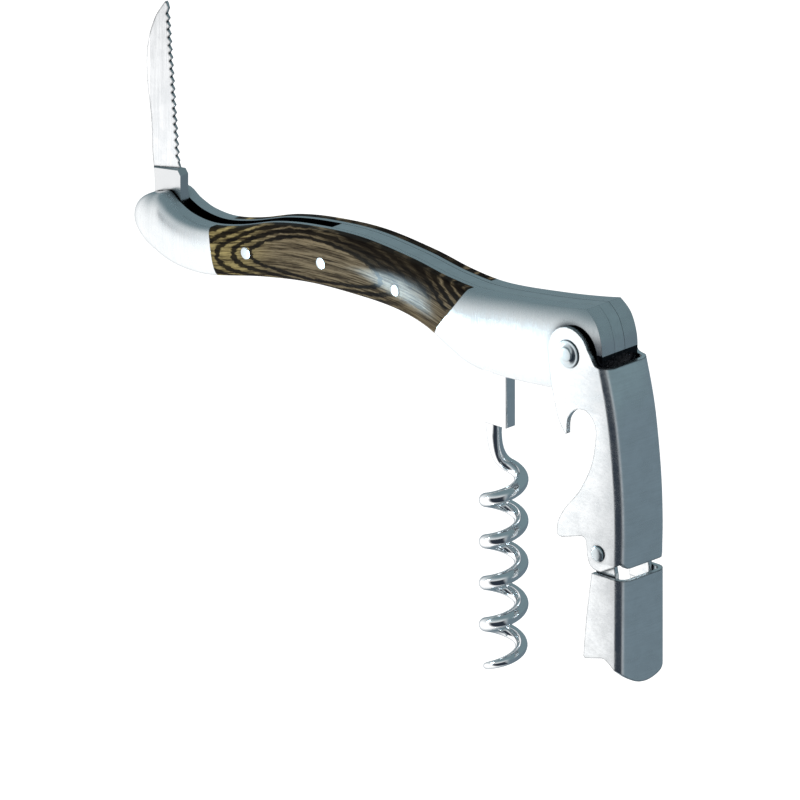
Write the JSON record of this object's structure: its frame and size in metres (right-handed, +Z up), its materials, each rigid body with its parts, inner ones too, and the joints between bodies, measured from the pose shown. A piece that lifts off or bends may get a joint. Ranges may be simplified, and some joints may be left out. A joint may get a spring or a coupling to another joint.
{
  "type": "lever corkscrew",
  "caption": "Folding lever corkscrew with a curved steel and wood handle, serrated foil knife, open coil worm and two-step lever.",
  "frame": {"origin": "on the worm's axis at rest, level with the worm's hinge pin, in the handle's mid-plane", "axes": "+X along the handle from the knife's nose to the lever, +Y across the handle away from the front scale, +Z up, so that the worm points along -Z"},
  "size_m": [0.1297, 0.0138, 0.1129],
  "materials": {
    "frame_steel": "brushed stainless steel, polished at the nose",
    "grip_wood": "laminated hardwood with dark figure, waxed",
    "spring_steel": "ground and brushed",
    "pin_steel": "polished steel",
    "blade_steel": "mirror polished above a satin ricasso",
    "worm_steel": "chromed steel wire",
    "lever_steel": "brushed sheet steel"
  },
  "bodies": {
    "handle": {"front_frame": "frame_steel", "back_frame": "frame_steel", "front_scale": "grip_wood", "back_scale": "grip_wood", "back_spring": "spring_steel", "front_nose_pin": "pin_steel", "front_middle_pin": "pin_steel", "back_nose_pin": "pin_steel", "back_middle_pin": "pin_steel", "spring_pin": "pin_steel", "knife_pin": "pin_steel", "worm_pin": "pin_steel", "lever_rivet": "pin_steel"},
    "knife": {"knife_blade": "blade_steel"},
    "worm": {"worm": "worm_steel"},
    "lever": {"upper_lever": "lever_steel", "front_step_rivet": "pin_steel", "back_step_rivet": "pin_steel"},
    "lower_lever": {"lower_lever": "lever_steel"}
  },
  "joints": [
    {"name": "knife_fold", "type": "hinge", "parent": "handle", "child": "knife", "pos_m": [-0.0853, 0, 0.007], "axis": [0, 1, 0], "range_deg": [-80, 90]},
    {"name": "lever_fold", "type": "hinge", "parent": "handle", "child": "lever", "pos_m": [0.0224, 0, 0.0065], "axis": [0, 1, 0], "range_deg": [0, 78]},
    {"name": "worm_fold", "type": "hinge", "parent": "handle", "child": "worm", "pos_m": [0, 0, 0], "axis": [0, 1, 0], "range_deg": [0, 84.3]},
    {"name": "step_swing", "type": "hinge", "parent": "lever", "child": "lower_lever", "pos_m": [0.0301, 0, -0.03173], "axis": [0, 1, 0], "range_deg": [-18, 0]}
  ],
  "couplings": [
    {"joint": "worm_fold", "follows": "lever_fold", "ratio": 1.08}
  ]
}
